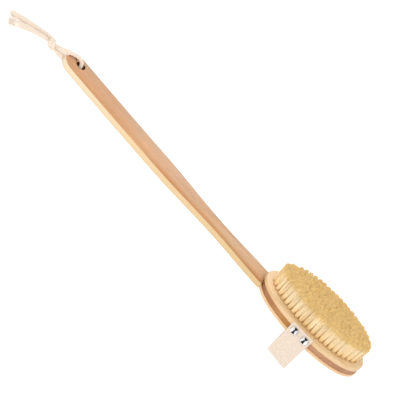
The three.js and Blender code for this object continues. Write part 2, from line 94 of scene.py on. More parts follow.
# ---- camera
# The photograph is a long-lens view from 35 degrees above the head, turned in its own plane.
PIXELS, PIXELS_PER_MM = 400, 1.035
ELEVATION, TURN = radians(35), radians(45.7046)
AIM_ALONG, AIM_ACROSS, AIM_BACK = -160.5, 12.4, 7.0
LENS, SENSOR = 900.0, 36.0

along = Vector((1, 0, 0))
across = Vector((0, sin(ELEVATION), cos(ELEVATION)))
back = Vector((0, -cos(ELEVATION), sin(ELEVATION)))
right = along * cos(TURN) + across * sin(TURN)
up = across * cos(TURN) - along * sin(TURN)
lean = Matrix.Rotation(-TILT, 3, "Y")
aim = along * AIM_ALONG + across * AIM_ACROSS + back * AIM_BACK
distance = PIXELS / PIXELS_PER_MM * MM * LENS / SENSOR
camera = bpy.data.objects.new("camera", bpy.data.cameras.new("camera"))
bpy.context.scene.collection.objects.link(camera)
camera.data.lens, camera.data.sensor_width = LENS, SENSOR
camera.data.clip_start, camera.data.clip_end = 0.05, 50
camera.matrix_world = Matrix.Translation(from_head(*aim) + lean @ back * distance) @ Matrix(
    (lean @ right, lean @ up, lean @ back)
).transposed().to_4x4()
bpy.context.scene.camera = camera

# ---- mesh helpers
FLAT_BORDER = 0.6
OVAL_POINTS, ROUND_STEPS = 240, 6


def smoothstep(a, b, x):
    """0 up to a and 1 from b on, with a smooth way between them."""
    t = min(1, max(0, (x - a) / (b - a)))
    return t * t * (3 - 2 * t)


def smooth(obj, sharp=40):
    obj.data.shade_smooth()
    obj.data.set_sharp_from_angle(angle=radians(sharp))


def new_object(name, vertices, faces, sharp=40):
    mesh = bpy.data.meshes.new(name)
    mesh.from_pydata([tuple(v) for v in vertices], [], faces)
    mesh.update()
    made = bpy.data.objects.new(name, mesh)
    bpy.context.scene.collection.objects.link(made)
    smooth(made, sharp)
    return made


def finished(obj, body, slot, material, *nodes):
    """Gives a piece its material, its body and the CAD nodes that it stands for. The slot is not used."""
    obj.data.materials.clear()
    obj.data.materials.append(material)
    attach(obj, body)
    if nodes:
        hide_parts(*nodes)


def point_attribute(obj, name, values):
    attribute = obj.data.attributes.new(name, "FLOAT_VECTOR", "POINT")
    attribute.data.foreach_set("vector", np.asarray(values, dtype=np.float32).ravel())


def boolean(target, tool, operation="DIFFERENCE", sharp=40, use_self=False):
    """Cuts the tool out of the target, or joins it on, and uses the tool up."""
    modifier = target.modifiers.new("cut", "BOOLEAN")
    modifier.object, modifier.operation, modifier.solver = tool, operation, "EXACT"
    modifier.use_self = use_self
    graph = bpy.context.evaluated_depsgraph_get()
    mesh = bpy.data.meshes.new_from_object(target.evaluated_get(graph))
    target.modifiers.clear()
    old, target.data = target.data, mesh
    bpy.data.meshes.remove(old)
    bpy.data.meshes.remove(tool.data)
    smooth(target, sharp)
    return target


def oval(a, b):
    points = []
    for i in range(OVAL_POINTS):
        angle = (i + 0.5) * 2 * pi / OVAL_POINTS
        c, s = cos(angle), sin(angle)
        x = a * copysign(abs(c) ** (2 / OVAL_POWER), c)
        points.append((x, b * copysign(abs(s) ** (2 / OVAL_POWER), s)))
    return points


def half_width(x):
    """Half the head's width at x."""
    return HEAD_B * (1 - min(1, abs(x / HEAD_A)) ** OVAL_POWER) ** (1 / OVAL_POWER)


def inset(outline, amount):
    moved = []
    for i, (x, y) in enumerate(outline):
        (x0, y0), (x1, y1) = outline[i - 1], outline[(i + 1) % len(outline)]
        length = hypot(x1 - x0, y1 - y0)
        moved.append((x - amount * (y1 - y0) / length, y + amount * (x1 - x0) / length))
    return moved


def layers(bottom, top, low_round, high_round):
    """Heights and insets from bottom to top, with round edges and a flat border inside them."""
    made = [(bottom, low_round + FLAT_BORDER)] if low_round else []
    for level, radius, way in ((bottom, low_round, 1), (top, high_round, -1)):
        edge = [(level, 0.0)]
        if radius:
            angles = [pi / 2 * i / ROUND_STEPS for i in range(ROUND_STEPS + 1)]
            edge = [(level + way * radius * (1 - cos(a)), radius * (1 - sin(a))) for a in angles]
        made += edge if way > 0 else edge[::-1]
    return made + ([(top, high_round + FLAT_BORDER)] if high_round else [])


def circle(radius, count):
    angles = [2 * pi * i / count for i in range(count)]
    return [(radius * cos(a), radius * sin(a)) for a in angles]


def ring_faces(start, count):
    """The walls between the ring of points that starts here and the ring after it."""
    after = [start + (i + 1) % count for i in range(count)]
    return [(start + i, a, a + count, start + i + count) for i, a in enumerate(after)]


def slab(name, outline, stack, place=lambda x, y, z: (x, y, z), sharp=40):
    """A board with this outline, whose point i mirrors point count - 1 - i across its long axis."""
    count, vertices, faces = len(outline), [], []
    for height, amount in stack:
        vertices += [from_head(*place(x, y, height)) for x, y in inset(outline, amount)]
    for layer in range(len(stack) - 1):
        faces += ring_faces(layer * count, count)
    top = (len(stack) - 1) * count
    for i in range(count // 2 - 1):
        a, b, c, d = i, i + 1, count - 2 - i, count - 1 - i
        faces += [(top + a, top + b, top + c, top + d), (a, d, c, b)]
    return new_object(name, vertices, faces, sharp)


def lathe(name, profile, segments, matrix):
    """Turns (radius, height) points about Z. The profile starts and ends on the axis."""
    vertices, faces, rings = [], [], []
    for radius, height in profile:
        if radius < 1e-6:
            rings.append([len(vertices)])
            vertices.append(matrix @ Vector((0, 0, height)))
            continue
        rings.append(list(range(len(vertices), len(vertices) + segments)))
        vertices += [matrix @ Vector((x, y, height)) for x, y in circle(radius, segments)]
    for low, high in zip(rings, rings[1:]):
        for i in range(segments):
            j = (i + 1) % segments
            corners = [low[i % len(low)], low[j % len(low)], high[j % len(high)], high[i % len(high)]]
            faces.append(tuple(dict.fromkeys(corners)))
    return new_object(name, vertices, faces, 50)


# ---- shader helpers
def node(tree, kind, inputs=(), **settings):
    """A shader node whose inputs are linked where they come from a node, and otherwise set."""
    made = tree.nodes.new("ShaderNode" + kind)
    for name, value in settings.items():
        setattr(made, name, value)
    for name, value in dict(inputs).items():
        if isinstance(value, bpy.types.NodeSocket):
            tree.links.new(value, made.inputs[name])
        else:
            made.inputs[name].default_value = value
    return made


def new_material(name, **shader_values):
    material = bpy.data.materials.new(name)
    material.use_nodes = True
    shader = material.node_tree.nodes["Principled BSDF"]
    for key, value in shader_values.items():
        shader.inputs[key.replace("_", " ")].default_value = value
    return material, material.node_tree, shader


def coordinates(tree, kind):
    return node(tree, "TexCoord").outputs[kind]


def attribute(tree, name):
    return node(tree, "Attribute", attribute_name=name).outputs["Vector"]


def component(tree, vector, axis):
    """One number of a vector: 0 for x, 1 for y and 2 for z."""
    return node(tree, "SeparateXYZ", {"Vector": vector}).outputs[axis]


def number_math(tree, operation, *values, clamp=False):
    made = node(tree, "Math", dict(enumerate(values)), operation=operation, use_clamp=clamp)
    return made.outputs[0]


def vector_math(tree, operation, *values):
    made = node(tree, "VectorMath", dict(enumerate(values)), operation=operation)
    return made.outputs["Value" if operation in ("LENGTH", "DOT_PRODUCT") else "Vector"]


def remap(tree, value, low, high, first=0.0, last=1.0):
    """Runs from first to last while the value runs from low to high, and holds there."""
    inputs = {"Value": value, "From Min": low, "From Max": high, "To Min": first, "To Max": last}
    return node(tree, "MapRange", inputs).outputs[0]


def ramp(tree, factor, stops):
    """Stops are a place from 0 to 1 and its colour, or one number for a grey."""
    made = node(tree, "ValToRGB", {"Fac": factor})
    elements = made.color_ramp.elements
    while len(elements) < len(stops):
        elements.new(0.5)
    for element, (position, *color) in zip(elements, stops):
        element.position = position
        element.color = (*(color if len(color) == 3 else color * 3), 1)
    return made.outputs["Color"]


def mixed(tree, factor, a, b, blend="MIX"):
    """The node takes its two colours in sockets 6 and 7, and gives the mixture in output 2."""
    mix = node(tree, "Mix", data_type="RGBA", blend_type=blend)
    for socket, value in ((mix.inputs[0], factor), (mix.inputs[6], a), (mix.inputs[7], b)):
        if isinstance(value, bpy.types.NodeSocket):
            tree.links.new(value, socket)
        else:
            socket.default_value = (*value, 1) if isinstance(value, tuple) else value
    return mix.outputs[2]


def toned(tree, color, tone):
    return mixed(tree, 1.0, color, tone, "MULTIPLY")


def noise(tree, place, scale, detail):
    return node(tree, "TexNoise", {"Vector": place, "Scale": scale, "Detail": detail}).outputs["Fac"]


def stretched_noise(tree, place, scale, detail=3.0, distortion=0.0):
    """Noise with its own scale along each axis."""
    moved = node(tree, "Mapping", {"Vector": place, "Scale": scale}).outputs[0]
    inputs = {"Vector": moved, "Scale": 1.0, "Detail": detail, "Distortion": distortion}
    return node(tree, "TexNoise", inputs).outputs["Fac"]


def bumpy(tree, shader, height, strength, depth):
    bump = node(tree, "Bump", {"Height": height, "Strength": strength, "Distance": depth})
    tree.links.new(bump.outputs[0], shader.inputs["Normal"])


def near_axis(tree, place, origin, direction, inner, outer):
    """1 within the inner distance of a line, and 0 beyond the outer one, in metres."""
    offset = vector_math(tree, "SUBTRACT", place, tuple(origin))
    crossed = vector_math(tree, "CROSS_PRODUCT", offset, tuple(direction))
    return remap(tree, vector_math(tree, "LENGTH", crossed), inner, outer, 1.0, 0.0)


def near_segment(tree, place, start, end, inner, outer):
    """1 within the inner distance of the line from start to end, and 0 beyond the outer one."""
    span = end - start
    offset = vector_math(tree, "SUBTRACT", place, tuple(start))
    dot = vector_math(tree, "DOT_PRODUCT", offset, tuple(span))
    share = number_math(tree, "DIVIDE", dot, span.length_squared, clamp=True)
    foot = vector_math(tree, "MULTIPLY", share, tuple(span))
    apart = vector_math(tree, "SUBTRACT", offset, foot)
    return remap(tree, vector_math(tree, "LENGTH", apart), inner, outer, 1.0, 0.0)


def upright_share(tree, low, high):
    """0 on faces that look sideways and 1 on faces that look up or down."""
    height = component(tree, coordinates(tree, "Normal"), 2)
    return remap(tree, number_math(tree, "ABSOLUTE", height), low, high)


def along_brush(tree, place, span):
    """0 at the span's first place along the brush and 1 at its second, in metres."""
    return remap(tree, component(tree, place, 0), *span)


# ---- materials
# Wood has a light colour, a dark one and one for its flecks. Tones multiply these colours.
HEAD_WOOD = (0.8, 0.58, 0.36), (0.7, 0.46, 0.26), (0.55, 0.32, 0.15)
HANDLE_WOOD = (0.72, 0.435, 0.245), (0.6, 0.335, 0.17), (0.47, 0.23, 0.1)
CORE_WOOD = (0.5, 0.24, 0.115), (0.36, 0.155, 0.07), (0.24, 0.1, 0.045)
# Painted light and shade: the face board is painted lighter where it faces up and darker on its rim, and
# the back board is painted a darker copy of the head's wood.
FACE_PAINTED_LIGHT, RIM_PAINTED_SHADE, BACK_PAINTED_SHADE = (1.01, 1.06, 1.0), (0.93, 0.91, 0.85), (0.92, 0.86, 0.8)
BORE_SHADE_COLOR, CORD_SHADOW_COLOR = (0.09, 0.018, 0.0), (0.13, 0.055, 0.02)
# Where the head's and the handle's changes of tone begin and end along the brush, in metres.
HEAD_SPAN, HANDLE_SPAN = (-0.07, 0.06), (-0.36, -0.07)
# A painted shadow: a dark line on the handle beside the bore, where the cord's shade falls. Its
# places in millimetres, and the strength of each stretch. The edges of the line and of the bore are in
# metres.
CORD_SHADOW_LINE = (-355.1, -2.5, 11.55), (-352.6, 0.9, 11.7), (-348.7, 4.1, 11.9), (-343.1, 2.7, 12.2)
CORD_SHADOW_STRENGTHS = 0.65, 0.85, 0.97
CORD_SHADOW_EDGE, BORE_EDGE = (0.0007, 0.0015), (0.005, 0.0053)


def wood(name, colors, tones_and_painted_light, roughness=0.42, figure=1.0):
    """Sealed fine-grained wood with its grain along the brush: bands, fibres and short flecks.
    figure is how strong the fibres and flecks are. The function given after the colours changes the
    colour of some places, with painted light and shade on each board, and says how dull they are at the
    least."""
    light, dark, fleck = colors
    middle = Vector(dark).lerp(light, 0.7)
    material, tree, shader = new_material(name, Specular_IOR_Level=0.4)
    place = coordinates(tree, "Object")
    grain = node(tree, "Mapping", {"Vector": place, "Rotation": (0, TILT, 0)}).outputs[0]
    bands = stretched_noise(tree, grain, (7, 120, 120), 4, 0.6)
    color = ramp(tree, bands, [(0.32, *dark), (0.5, *middle), (0.68, *light)])
    fibres = stretched_noise(tree, grain, (70, 2600, 2600), 3)
    color = toned(tree, color, ramp(tree, fibres, [(0.3, 1 - 0.16 * figure), (0.7, 1.0)]))
    flecks = stretched_noise(tree, grain, (260, 2000, 2000), 1)
    marks = ramp(tree, flecks, [(0.62, 0.0), (0.7, 0.45 * figure)])
    color, dull = tones_and_painted_light(tree, mixed(tree, marks, color, fleck), place)
    rough = remap(tree, fibres, 0.0, 1.0, roughness - 0.07, roughness + 0.09)
    tree.links.new(color, shader.inputs["Base Color"])
    tree.links.new(number_math(tree, "MAXIMUM", rough, dull), shader.inputs["Roughness"])
    bumpy(tree, shader, fibres, 0.12, 0.0002)
    return material


def handle_across(tree, place, x):
    """0 at the handle's near edge and 1 at its far one. The ramp is its width in grip widths."""
    width = ramp(tree, x, [(0.0, 1.0), (0.48, 1.0), (0.62, 0.93), (0.8, 0.725), (1.0, 0.86)])
    grip = GRIP_WIDTH / 2 * MM
    return remap(tree, number_math(tree, "DIVIDE", component(tree, place, 1), width), -grip, grip)


def handle_face_tone(tree, place, x):
    """The tone of the handle's faces: across the grip and the waist, with painted shade at the edges, in
    fine lines and along it.
    """
    over = handle_across(tree, place, x)
    # Painted shade across the faces: darker at the waist's near edge and greyer at the far edge.
    grip = ramp(tree, over, [
        (0.05, 0.99, 0.93, 0.84), (0.3, 0.98, 0.93, 0.9), (0.6, 0.96, 0.95, 0.97),
        (0.95, 0.89, 0.98, 1.12),
    ])
    waist = ramp(tree, over, [
        (0.05, 0.78, 0.6, 0.4), (0.2, 0.9, 0.8, 0.65), (0.38, 1.0, 0.99, 1.0), (0.7, 0.98, 0.99, 1.06),
        (0.95, 0.92, 1.02, 1.18),
    ])
    tone = mixed(tree, remap(tree, x, 0.36, 0.55), grip, waist)
    lines = stretched_noise(tree, place, (5, 700, 700), 2)
    fine = ramp(tree, lines, [(0.35, 0.9, 0.97, 1.06), (0.5, 1.0), (0.65, 1.05, 0.96, 0.92)])
    length = ramp(tree, x, [
        (0.24, 0.95, 0.91, 0.88), (0.43, 1.02, 1.03, 1.04), (0.6, 0.99, 1.0, 1.06),
        (0.85, 1.0, 1.05, 1.06), (1.0, 0.99, 1.0, 0.95),
    ])
    return toned(tree, toned(tree, tone, fine), length)


def handle_side_color(tree, x):
    """The handle's sides are paler than its faces, and painted darker, as shade, where they turn under."""
    side = ramp(tree, x, [
        (0.0, 0.72, 0.59, 0.41), (0.12, 0.7, 0.56, 0.37), (0.4, 0.68, 0.5, 0.29),
        (1.0, 0.6, 0.42, 0.21),
    ])
    height = component(tree, coordinates(tree, "Normal"), 2)
    # Painted shade: darker where the sides face down.
    under = ramp(tree, remap(tree, height, -1.0, 1.0), [
        (0.1, 0.64, 0.66, 0.71), (0.35, 0.78, 0.8, 0.85), (0.49, 0.96, 0.97, 0.98), (0.62, 1.0),
    ])
    return toned(tree, side, under)


def handle_tones_and_painted_shade(tree, color, place):
    """The handle's faces and sides have their own tones and painted shade. A painted shadow lies beside
    the bore under the cord, and the bore is painted dark, as shade, and is dull.
    """
    x = along_brush(tree, place, HANDLE_SPAN)
    color = toned(tree, color, handle_face_tone(tree, place, x))
    color = mixed(tree, upright_share(tree, 0.35, 0.75), handle_side_color(tree, x), color)
    points = [Vector(p) * MM for p in CORD_SHADOW_LINE]
    for start, end, strength in zip(points, points[1:], CORD_SHADOW_STRENGTHS):
        # Painted shadow: the wood is darkened along the line where the cord shades it.
        cord_shadow = near_segment(tree, place, start, end, *CORD_SHADOW_EDGE)
        color = mixed(tree, number_math(tree, "MULTIPLY", cord_shadow, strength), color, CORD_SHADOW_COLOR)
    # Painted shade: the bore is painted dark, as the shade inside the hole.
    axis = HOLE_PLACE.to_3x3().col[2].normalized()
    bore = near_axis(tree, place, HOLE_PLACE.translation, axis, *BORE_EDGE)
    return mixed(tree, bore, color, BORE_SHADE_COLOR), bore


def face_light_and_shade(tree, color, place):
    """Painted light and shade: the bristle side of the head is painted paler than its rim, most of all
    towards the handle, where the rim is painted darker.
    """
    x = along_brush(tree, place, HEAD_SPAN)
    # Painted light where the face looks up, and painted shade on the rim, darkest by the handle.
    top = ramp(tree, x, [(0.06, 1.18, 1.22, 1.3), (0.22, *FACE_PAINTED_LIGHT)])
    rim = ramp(tree, x, [(0.1, 0.84, 0.76, 0.63), (0.25, *RIM_PAINTED_SHADE)])
    return toned(tree, color, mixed(tree, upright_share(tree, 0.6, 0.95), rim, top)), 0.0


def back_shade_tone(tree, color, place):
    # Painted shade: the whole back board is made darker than the head's wood.
    return toned(tree, color, BACK_PAINTED_SHADE), 0.0


def core_tones_and_painted_shade(tree, color, place):
    """The core board is painted dark at the handle, as shade where the head's rim meets it, orange up to
    the strap, and greyer beyond it.
    """
    # Painted shade: the first stop darkens the core where it meets the handle.
    tones = ramp(tree, along_brush(tree, place, HEAD_SPAN), [
        (0.0, 0.42, 0.32, 0.18), (0.09, 0.82, 0.75, 0.6), (0.25, 0.98, 0.96, 0.66),
        (0.42, 0.95, 0.84, 0.33), (0.55, 1.12, 1.18, 1.3), (0.8, 1.14, 1.26, 1.42),
        (1.0, 0.95, 1.04, 1.15),
    ])
    return toned(tree, color, tones), 0.0


def bristle_material():
    """Pale bristles with golden tips. The mesh tells how far up a place is, and gives each bristle
    and each tuft a number for its tint. The roots glow faintly: painted light in place of the light inside
    a tuft."""
    material, tree, shader = new_material(
        "bristle", Roughness=0.55, Specular_IOR_Level=0.3, Sheen_Weight=0.15, Emission_Strength=1.0)
    facts = attribute(tree, "fibre")
    height = component(tree, facts, 0)
    color = ramp(tree, height, [
        (0.0, 0.74, 0.5, 0.25), (0.18, 0.81, 0.63, 0.385), (0.5, 0.84, 0.695, 0.465),
        (0.8, 0.87, 0.715, 0.475), (0.93, 0.88, 0.685, 0.36), (1.0, 0.88, 0.64, 0.28),
    ])
    # Painted light: a faint glow, strongest at the roots, in place of the light inside a tuft.
    painted_root_light = ramp(tree, height, [
        (0.0, 0.17, 0.105, 0.03), (0.25, 0.1, 0.068, 0.018), (0.5, 0.045, 0.032, 0.008),
        (0.8, 0.03, 0.02, 0.003), (1.0, 0.03, 0.016, 0.0),
    ])
    own = ramp(tree, component(tree, facts, 1), [
        (0.0, 0.9, 0.8, 0.66), (0.5, 0.98), (1.0, 1.0, 1.02, 1.06),
    ])
    tuft = ramp(tree, component(tree, facts, 2), [
        (0.0, 0.93, 0.89, 0.82), (0.5, 0.97), (1.0, 1.01, 0.99, 0.94),
    ])
    tree.links.new(toned(tree, toned(tree, color, own), tuft), shader.inputs["Base Color"])
    tree.links.new(painted_root_light, shader.inputs["Emission Color"])
    return material


def cloth_material():
    """Cream cotton webbing. The weave itself is in the mesh."""
    material, tree, shader = new_material(
        "webbing", Roughness=0.9, Specular_IOR_Level=0.15, Sheen_Weight=0.3, Sheen_Roughness=0.6)
    place = attribute(tree, "cloth")
    yarns = stretched_noise(tree, place, (0.25, 1.1, 0))
    cross = stretched_noise(tree, place, (1.1, 0.25, 0))
    color = ramp(tree, yarns, [(0.3, 0.61, 0.49, 0.39), (0.55, 0.68, 0.57, 0.47), (0.8, 0.73, 0.62, 0.52)])
    color = toned(tree, color, ramp(tree, cross, [(0.3, 0.9), (0.7, 1.0)]))
    tree.links.new(color, shader.inputs["Base Color"])
    bumpy(tree, shader, noise(tree, place, 6.0, 4.0), 0.35, 0.00015)
    return material


def cotton_material(name, dark, middle, light):
    """Cotton yarn. The mesh's lay runs along the cord, round it and up its strands."""
    material, tree, shader = new_material(
        name, Roughness=0.95, Specular_IOR_Level=0.1, Sheen_Weight=0.4, Sheen_Roughness=0.5)
    place = attribute(tree, "lay")
    yarn = stretched_noise(tree, place, (0.8, 7.0, 7.0))
    color = ramp(tree, yarn, [(0.3, *dark), (0.6, *middle), (0.8, *light)])
    tree.links.new(color, shader.inputs["Base Color"])
    bumpy(tree, shader, noise(tree, place, 5.0, 5.0), 0.4, 0.0002)
    return material


def chrome_material():
    material, tree, shader = new_material("chrome", Metallic=1.0)
    wear = noise(tree, coordinates(tree, "Object"), 900.0, 4.0)
    color = ramp(tree, wear, [(0.3, 0.72, 0.73, 0.75), (0.7, 0.86, 0.87, 0.89)])
    tree.links.new(color, shader.inputs["Base Color"])
    tree.links.new(remap(tree, wear, 0.0, 1.0, 0.05, 0.12), shader.inputs["Roughness"])
    return material


face_wood = wood("face_wood", HEAD_WOOD, face_light_and_shade)
back_wood = wood("back_wood", HEAD_WOOD, back_shade_tone)
handle_wood = wood("handle_wood", HANDLE_WOOD, handle_tones_and_painted_shade)
dark_wood = wood("dark_wood", CORE_WOOD, core_tones_and_painted_shade, roughness=0.5, figure=1.4)
bristle = bristle_material()
webbing = cloth_material()
cotton = cotton_material("cotton", (0.64, 0.52, 0.41), (0.73, 0.62, 0.52), (0.78, 0.68, 0.58))
# Painted light: the loose yarns get a paler copy of the cotton, against the shade among them.
loose_cotton_painted_light = cotton_material("loose_cotton_painted_light", (0.92, 0.81, 0.7), (0.96, 0.88, 0.79), (0.98, 0.92, 0.85))
chrome = chrome_material()

# ---- cord
# Places in millimetres, with the level that the brush rests on at 0.
LOOP_ROUTE = [
    (-366.6, -1.6, 2.9), (-363.6, -0.7, 2.3), (-360.2, -0.1, 2), (-356.8, 0.3, 2),
    (-353.6, 0.7, 2), (-350.6, 1.2, 2), (-347.6, 1.7, 2), (-344.85, 2.1, 2), (-341.9, 2.4, 2.63),
    (-339.46, 2.7, 4.4), (-337.96, 2.8, 7.01), (-337.64, 2.9, 10.01), (-338.57, 2.9, 12.88),
    (-340.59, 2.9, 15.12), (-343.34, 2.8, 16.34), (-346.3, 2.6, 16.35), (-349.1, 2, 15.5),
    (-351.6, 1, 14.8), (-354.1, -0.5, 14.2), (-356.6, -1.9, 13.4), (-359.2, -2.8, 12.3),
    (-361.8, -3, 10.8), (-364.2, -2.6, 9.1), (-366.6, -2, 7.3),
]
TAIL_1_ROUTE = [
    (-378.9, 0.9, 5.7), (-380.8, 1.1, 5.2), (-383.2, 1.3, 4.3), (-385.9, 1.2, 3.3),
    (-388.6, 0.4, 2.5), (-391.5, -1.1, 2.1), (-394.5, -3.2, 2), (-397.5, -5.4, 2),
    (-400.4, -7.4, 2), (-403.4, -9.2, 2), (-406.3, -10.9, 2), (-409.3, -12.7, 2),
    (-412.2, -14.6, 2), (-415.2, -16.7, 2), (-417.7, -18.6, 2),
]
TAIL_2_ROUTE = [
    (-379, -3.1, 3.9), (-380.8, -3.5, 3.5), (-383.2, -4.1, 2.7), (-385.6, -4.9, 2.2),
    (-388, -6.1, 2), (-390.3, -7.6, 2), (-392.6, -9.4, 2), (-395, -11.4, 2), (-397.3, -13.4, 2),
    (-399.6, -15.4, 2), (-401.9, -17.5, 2), (-404.2, -19.7, 2), (-406.5, -21.9, 2),
    (-408.8, -24.1, 2), (-411, -26.2, 2),
]
KNOT_CENTRE, KNOT_AXIS = Vector((-372.8, -2.9, 5.3)), Vector((1, 0.05, 0)).normalized()
KNOT_RADIUS, KNOT_SHIFT, KNOT_START, KNOT_TURNS = 3.35, 1.75, 0.4, 1.18
TURN_POINTS, CORE_CORD_RADIUS, CORE_OVERLAP = 72, 1.85, 0.6
CORD_STEP, PATH_SAMPLES, PATH_THINNING = 0.4, 24, 3
# The cord's three strands: the length of one turn, and how deep they and their yarns stand out.
STRAND_PITCH, STRAND_DEPTH, YARN_DEPTH, YARNS = 11.0, 0.07, 0.012, 8
# A thin end thins over this length, and the first ring and the last are this share of the rest.
END_LENGTH, LAST_RING = 7, 0.86
YARN_RADIUS, YARN_POINTS, LEAST_HEIGHT = 0.22, 7, 0.25


def smooth_path(route):
    """A Catmull-Rom curve through the route, resampled at even steps, and its length."""
    points = [Vector(p) for p in route]
    points = [points[0] * 2 - points[1], *points, points[-1] * 2 - points[-2]]
    dense = []
    for a, b, c, d in zip(points, points[1:], points[2:], points[3:]):
        for i in range(PATH_SAMPLES):
            t = i / PATH_SAMPLES
            dense.append(0.5 * (2 * b + (c - a) * t + (2 * a - 5 * b + 4 * c - d) * t * t
                                + (3 * b - a - 3 * c + d) * t ** 3))
    dense.append(points[-2])
    lengths = np.concatenate([[0], np.cumsum([(q - p).length for p, q in zip(dense, dense[1:])])])
    total = float(lengths[-1])
    at = np.linspace(0, total, max(3, round(total / CORD_STEP)) + 1)
    flat = np.array(dense)
    return [Vector([np.interp(s, lengths, flat[:, i]) for i in range(3)]) for s in at], total


def frames(path):
    """A direction and two cross directions at each point, turning as little as they can."""
    made, side = [], None
    for i in range(len(path)):
        way = (path[min(i + 1, len(path) - 1)] - path[max(i - 1, 0)]).normalized()
        if side is None:
            side = way.cross(UP if abs(way.z) < 0.9 else Vector((1, 0, 0))).normalized()
        side = (side - way * side.dot(way)).normalized()
        made.append((way, side, way.cross(side)))
    return made


# A section gives a cord's width and height as shares of its radius, and its lift in millimetres,
# at a place that is s from the cord's start and has left to go to its end, both in millimetres.
def round_section(s, left):
    return 1.0, 1.0, 0.0


def loop_section(s, left):
    """The lower strand is loose and stands higher between the knot and the handle. The upper one
    hangs over the handle's end, and is drawn out into a flat, deep band."""
    deep = min(1, left / 10.5) * (1 - smoothstep(12.5, 15.0, left))
    loose = smoothstep(1, 4, s) * (1 + 0.6 * smoothstep(5, 9, s)) * (1 - smoothstep(11, 13.5, s))
    return 1 + 0.15 * deep, 1 + 0.8 * deep + 0.4 * loose, 0.5 * loose - 0.75 * deep


def tail_section(s, left):
    """A tail untwists towards its end: it lies wider on the floor, and a little higher."""
    loose = smoothstep(4, 26, s)
    wide = 1.05 + 0.6 * loose + 0.25 * smoothstep(22, 30, s)
    return wide, 1.05 + 0.35 * loose, 0.3 * CORD_RADIUS * loose


def rope(name, path, radius, end_share=1, phase=0.0, section=round_section, sides=30):
    """A three-strand twisted cord along this path. Its end thins to end_share of its thickness,
    and phase turns its strands about it."""
    step = (path[1] - path[0]).length
    vertices, lay, faces = [], [], []
    last = len(path) - 1
    for i, (point, (way, side, over)) in enumerate(zip(path, frames(path))):
        s, left = i * step, (last - i) * step
        share = LAST_RING if i in (0, last) else 1.0
        if left < END_LENGTH:
            share *= end_share + (1 - end_share) * sin(pi / 2 * left / END_LENGTH)
        wide, tall, lift = section(s, left)
        for j in range(sides):
            angle = 2 * pi * j / sides
            strand = 3 * angle / 2 - 3 * pi * s / STRAND_PITCH + phase
            lobe = abs(cos(strand))
            yarn = cos(YARNS * strand + 5.5 * s)
            r = radius * share * (1 - STRAND_DEPTH + STRAND_DEPTH * lobe ** 0.75 + YARN_DEPTH * yarn)
            place = point + side * (r * wide * cos(angle)) + over * (r * tall * sin(angle))
            vertices.append((place + UP * lift) * MM)
            lay.append((s, strand, lobe))
    for i in range(last):
        faces += ring_faces(i * sides, sides)
    faces += [tuple(range(sides))[::-1], tuple(last * sides + j for j in range(sides))]
    made = new_object(name, vertices, faces, 60)
    point_attribute(made, "lay", lay)
    return made


def prisms(name, paths, radii, attribute_name, values, sides=3):
    """Thin strands as prisms. paths is an array of strands by points by 3, in metres."""
    strands, points, _ = paths.shape
    ways = np.gradient(paths, axis=1)
    ways /= np.linalg.norm(ways, axis=2, keepdims=True)
    helper = np.where(np.abs(ways[:, :, 2:3]) < 0.9, [[[0, 0, 1.0]]], [[[1.0, 0, 0]]])
    side = np.cross(ways, helper)
    side /= np.linalg.norm(side, axis=2, keepdims=True)
    over = np.cross(ways, side)
    corners = np.arange(sides)
    angles = 2 * np.pi * corners / sides
    ring = side[:, :, None] * np.cos(angles)[:, None] + over[:, :, None] * np.sin(angles)[:, None]
    vertices = (paths[:, :, None] + ring * radii[:, :, None, None]).reshape(-1, 3)
    ring_starts = np.arange(points - 1)[:, None] * sides
    low, after = ring_starts + corners, ring_starts + (corners + 1) % sides
    walls = np.stack([low, after, after + sides, low + sides], axis=-1).reshape(-1, 4)
    starts = np.arange(strands) * points * sides
    quads = (starts[:, None, None] + walls).reshape(-1, 4).tolist()
    first, last = corners[::-1], (points - 1) * sides + corners
    caps = np.concatenate([starts[:, None] + first, starts[:, None] + last]).tolist()
    made = new_object(name, vertices.tolist(), quads + caps, 100)
    point_attribute(made, attribute_name, np.repeat(values.reshape(-1, 3), sides, axis=0))
    return made


def frayed(name, path, count, seed, flare):
    """The loose yarn ends that spread from the last few millimetres of a cord."""
    rng = np.random.RandomState(seed)
    way, side, over = (np.array(v) for v in frames(path)[-1])
    end = np.array(path[-1])
    paths = np.empty((count, YARN_POINTS, 3))
    for n in range(count):
        angle, out = rng.uniform(0, 2 * pi), sqrt(rng.uniform())
        start = rng.uniform(-8.5, -3.5)
        length = rng.uniform(6.5, 10.0) + 7.0 * max(0, flare - 1)
        spread = side * cos(angle) + over * sin(angle) * 0.75
        wave = rng.uniform(-1, 1, 2) * 0.5
        phase = rng.uniform(0, 6.28)
        for i, t in enumerate(np.linspace(0, 1, YARN_POINTS)):
            bow = np.sin(phase + 4 * t) - sin(phase)
            aside = wave[0] * bow - 0.5 * (flare - 1)
            paths[n, i] = (end + way * (start + length * t) + spread * out * (3.0 + 1.3 * flare * t ** 1.4)
                           + side * aside * t + over * wave[1] * bow * t)
            paths[n, i, 2] += 0.2 * CORD_RADIUS
    paths[:, :, 2] = np.maximum(paths[:, :, 2], LEAST_HEIGHT)
    radii = np.full((count, YARN_POINTS), YARN_RADIUS * MM) * np.linspace(1, 0.6, YARN_POINTS)
    values = np.stack([paths[:, :, 0] * 0.5, paths[:, :, 1], paths[:, :, 2]], axis=-1)
    return prisms(name, paths * MM, radii, "lay", values)


